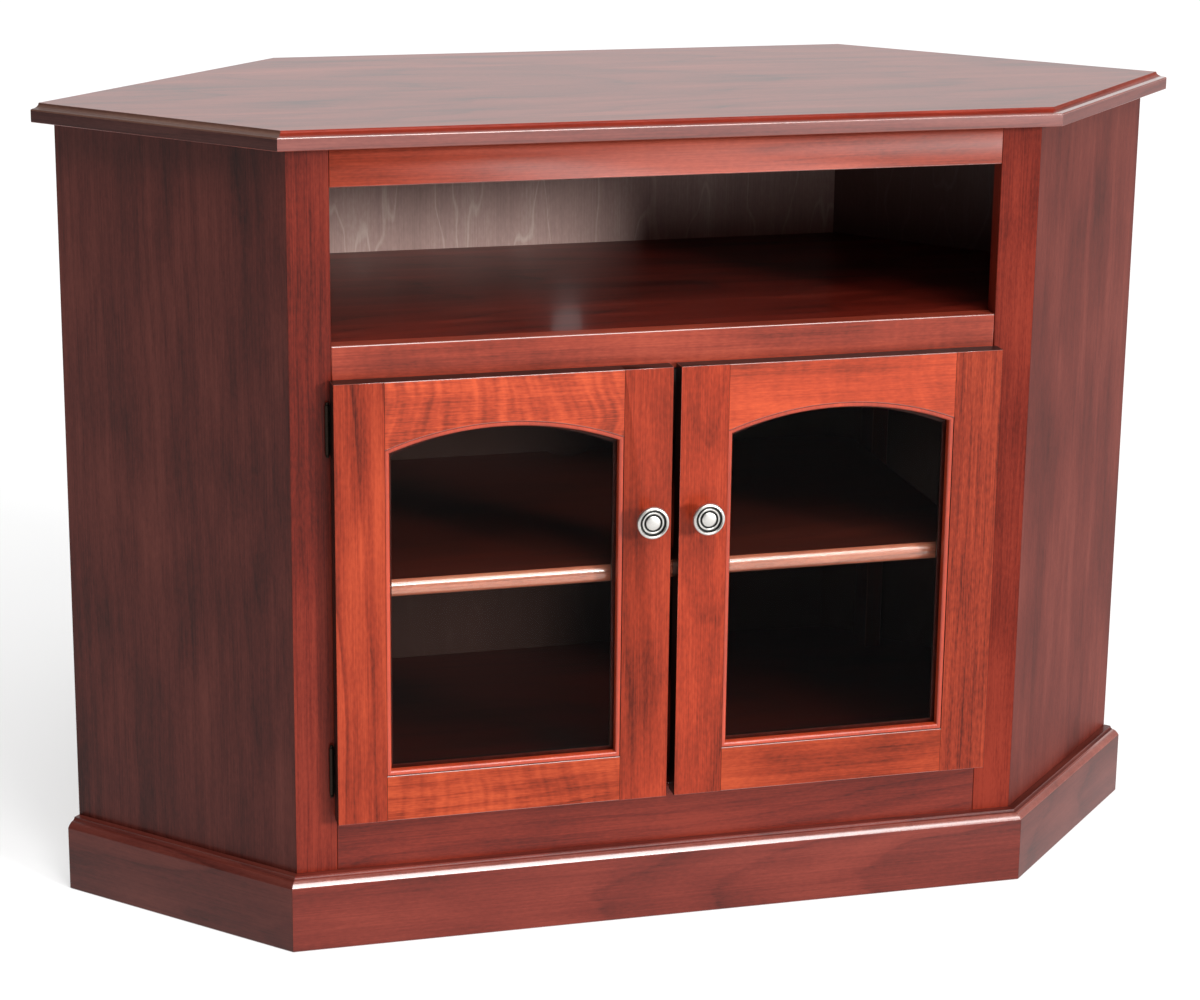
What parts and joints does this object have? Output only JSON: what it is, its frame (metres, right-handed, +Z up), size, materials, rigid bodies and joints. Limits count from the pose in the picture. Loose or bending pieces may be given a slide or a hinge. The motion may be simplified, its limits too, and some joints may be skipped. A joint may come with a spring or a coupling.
{
  "type": "corner television cabinet",
  "caption": "Cherry-stained wooden corner television cabinet with an open device bay over arched glass doors and an adjustable shelf.",
  "frame": {"origin": "centre of the bounding box's underside, on the floor", "axes": "+X to the right seen from the room, -Y towards the room (the doors face -Y), +Z up"},
  "size_m": [1.2186, 0.5142, 0.838],
  "materials": {
    "clear_glass": "clear, smooth",
    "back_plywood": "stained plywood, satin",
    "satin_nickel_knob": "satin nickel, turned rings",
    "nickel_pin": "bright nickel",
    "hinge_pin_nickel": "bright tips",
    "hinge_bronze": "dark bronze, satin",
    "zinc_steel": "zinc plated",
    "catch_black": "black, matt",
    "top_wood": "cherry red stain, semi-gloss lacquer",
    "side_wood": "dark cherry stain, semi-gloss lacquer",
    "base_wood": "cherry red stain, semi-gloss lacquer",
    "door_wood": "cherry red stain, figured, semi-gloss lacquer",
    "shelf_wood": "dark cherry stain, semi-gloss lacquer",
    "hidden_wood": "stained, satin",
    "frame_wood": "cherry red stain, semi-gloss lacquer"
  },
  "bodies": {
    "cabinet": {"back_panel": "back_plywood", "base_front": "base_wood", "base_left": "base_wood", "base_right": "base_wood", "bay_floor": "shelf_wood", "cabinet_floor": "shelf_wood", "door_catch": "catch_black", "frame_rail_bottom": "frame_wood", "frame_rail_middle": "frame_wood", "frame_rail_top": "frame_wood", "frame_stile_left": "frame_wood", "frame_stile_right": "frame_wood", "left_bottom_hinge_frame_leaf": "hinge_bronze", "left_bottom_hinge_pin": "hinge_pin_nickel", "left_top_hinge_frame_leaf": "hinge_bronze", "left_top_hinge_pin": "hinge_pin_nickel", "rear_base_rail": "hidden_wood", "rear_panel_left": "back_plywood", "rear_panel_right": "back_plywood", "rear_post_left": "hidden_wood", "rear_post_right": "hidden_wood", "right_bottom_hinge_frame_leaf": "hinge_bronze", "right_bottom_hinge_pin": "hinge_pin_nickel", "right_top_hinge_frame_leaf": "hinge_bronze", "right_top_hinge_pin": "hinge_pin_nickel", "shelf_batten_left": "hidden_wood", "shelf_batten_right": "hidden_wood", "shelf_pin_front_left": "nickel_pin", "shelf_pin_front_right": "nickel_pin", "shelf_pin_rear_left": "nickel_pin", "shelf_pin_rear_right": "nickel_pin", "side_panel_left": "side_wood", "side_panel_right": "side_wood", "top_panel": "top_wood"},
    "left_door": {"left_bottom_hinge_door_leaf": "hinge_bronze", "left_door_bead": "door_wood", "left_door_bottom_rail": "door_wood", "left_door_glass": "clear_glass", "left_door_glass_stop": "door_wood", "left_door_hinge_stile": "door_wood", "left_door_knob": "satin_nickel_knob", "left_door_knob_screw": "zinc_steel", "left_door_meeting_stile": "door_wood", "left_door_strike": "zinc_steel", "left_door_top_rail": "door_wood", "left_top_hinge_door_leaf": "hinge_bronze"},
    "right_door": {"right_bottom_hinge_door_leaf": "hinge_bronze", "right_door_bead": "door_wood", "right_door_bottom_rail": "door_wood", "right_door_glass": "clear_glass", "right_door_glass_stop": "door_wood", "right_door_hinge_stile": "door_wood", "right_door_knob": "satin_nickel_knob", "right_door_knob_screw": "zinc_steel", "right_door_meeting_stile": "door_wood", "right_door_strike": "zinc_steel", "right_door_top_rail": "door_wood", "right_top_hinge_door_leaf": "hinge_bronze"},
    "shelf": {"adjustable_shelf": "shelf_wood"}
  },
  "joints": [
    {"name": "left_door_hinge", "type": "hinge", "parent": "cabinet", "child": "left_door", "pos_m": [-0.3484, -0.2147, 0.3], "axis": [0, 0, -1], "range_deg": [0, 100]},
    {"name": "right_door_hinge", "type": "hinge", "parent": "cabinet", "child": "right_door", "pos_m": [0.3484, -0.2147, 0.3], "axis": [0, 0, 1], "range_deg": [0, 100]},
    {"name": "shelf_lift", "type": "slide", "parent": "cabinet", "child": "shelf", "axis": [0, 0, 1], "range_m": [0, 0.06]}
  ]
}
